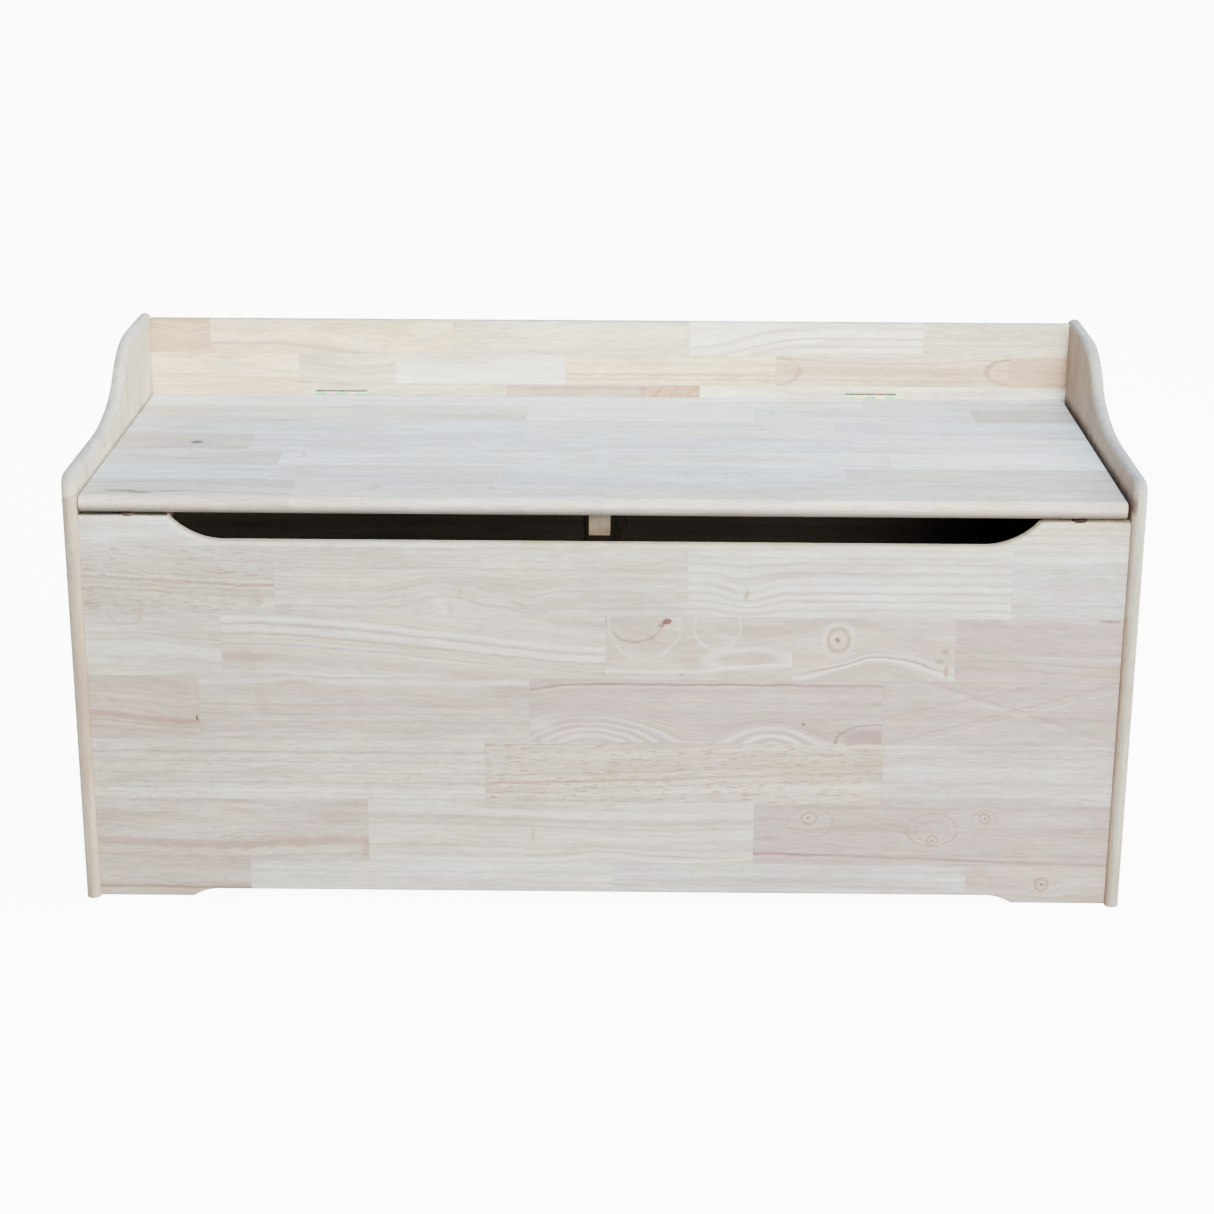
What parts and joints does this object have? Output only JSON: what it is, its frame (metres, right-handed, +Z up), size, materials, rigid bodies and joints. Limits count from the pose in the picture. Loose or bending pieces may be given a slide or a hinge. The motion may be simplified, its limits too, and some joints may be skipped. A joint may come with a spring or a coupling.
{
  "type": "wooden toy box",
  "caption": "Lift-top wooden toy chest and bench with scroll-topped side panels, a low backrest, a hand slot under the hinged lid and a folding lid stay.",
  "frame": {"origin": "on the floor, at the middle of the bounding box's bottom", "axes": "+X to the right along the chest's length, +Y from the front panel to the backrest, +Z up"},
  "size_m": [1.118, 0.465, 0.546],
  "materials": {
    "rubberwood": "pale unfinished edge-glued hardwood, finely sanded",
    "plywood": "thin unfinished plywood",
    "hinge_metal": "yellow zinc plate, bright on the knuckles",
    "stay_metal": "bright zinc plate",
    "bumper_rubber": "dark brown, matt",
    "nylon": "natural nylon"
  },
  "bodies": {
    "carcass": {"side_left": "rubberwood", "side_right": "rubberwood", "front_panel": "rubberwood", "bumper_left": "bumper_rubber", "bumper_right": "bumper_rubber", "backrest": "rubberwood", "lower_back_rail": "rubberwood", "back_stile": "rubberwood", "back_panel_left": "plywood", "back_panel_right": "plywood", "bottom_panel": "plywood", "cleat_front": "rubberwood", "cleat_rear": "rubberwood", "cleat_left": "rubberwood", "cleat_right": "rubberwood", "post_front_left": "rubberwood", "post_front_right": "rubberwood", "post_rear_left": "rubberwood", "post_rear_right": "rubberwood", "hinge_left_backrest_leaf": "hinge_metal", "hinge_left_backrest_screw_1": "hinge_metal", "hinge_left_backrest_screw_2": "hinge_metal", "hinge_left_backrest_screw_3": "hinge_metal", "hinge_left_pin": "hinge_metal", "hinge_right_backrest_leaf": "hinge_metal", "hinge_right_backrest_screw_1": "hinge_metal", "hinge_right_backrest_screw_2": "hinge_metal", "hinge_right_backrest_screw_3": "hinge_metal", "hinge_right_pin": "hinge_metal", "stay_base_plate": "stay_metal", "stay_base_screw_1": "stay_metal", "stay_base_screw_2": "stay_metal", "stay_base_screw_3": "stay_metal", "stay_stud": "stay_metal", "stay_outer_washer": "nylon", "stay_inner_washer": "nylon", "stay_lock_nut": "stay_metal"},
    "lid": {"lid_panel": "rubberwood", "lid_batten": "rubberwood", "batten_screw_1": "hinge_metal", "batten_screw_2": "hinge_metal", "batten_screw_3": "hinge_metal", "hinge_left_lid_leaf": "hinge_metal", "hinge_left_lid_screw_1": "hinge_metal", "hinge_left_lid_screw_2": "hinge_metal", "hinge_left_lid_screw_3": "hinge_metal", "hinge_right_lid_leaf": "hinge_metal", "hinge_right_lid_screw_1": "hinge_metal", "hinge_right_lid_screw_2": "hinge_metal", "hinge_right_lid_screw_3": "hinge_metal", "stay_lid_bracket": "stay_metal", "stay_bracket_screw_1": "stay_metal", "stay_bracket_screw_2": "stay_metal", "stay_lid_rivet": "stay_metal"},
    "stay_arm": {"stay_arm": "stay_metal", "stay_elbow_rivet": "stay_metal"},
    "stay_link": {"stay_link": "stay_metal"}
  },
  "joints": [
    {"name": "lid_hinge", "type": "hinge", "parent": "carcass", "child": "lid", "pos_m": [0, 0.21675, 0.45475], "axis": [-1, 0, 0], "range_deg": [0, 92]},
    {"name": "stay_wall_pivot", "type": "hinge", "parent": "carcass", "child": "stay_arm", "pos_m": [0.5385, 0.17175, 0.36975], "axis": [-1, 0, 0], "range_deg": [0, 92]},
    {"name": "stay_elbow", "type": "hinge", "parent": "stay_arm", "child": "stay_link", "pos_m": [0.537, 0.05175, 0.335], "axis": [-1, 0, 0], "range_deg": [-92, 0]}
  ],
  "couplings": [
    {"joint": "stay_wall_pivot", "follows": "lid_hinge", "ratio": 1},
    {"joint": "stay_elbow", "follows": "lid_hinge", "ratio": -1}
  ]
}
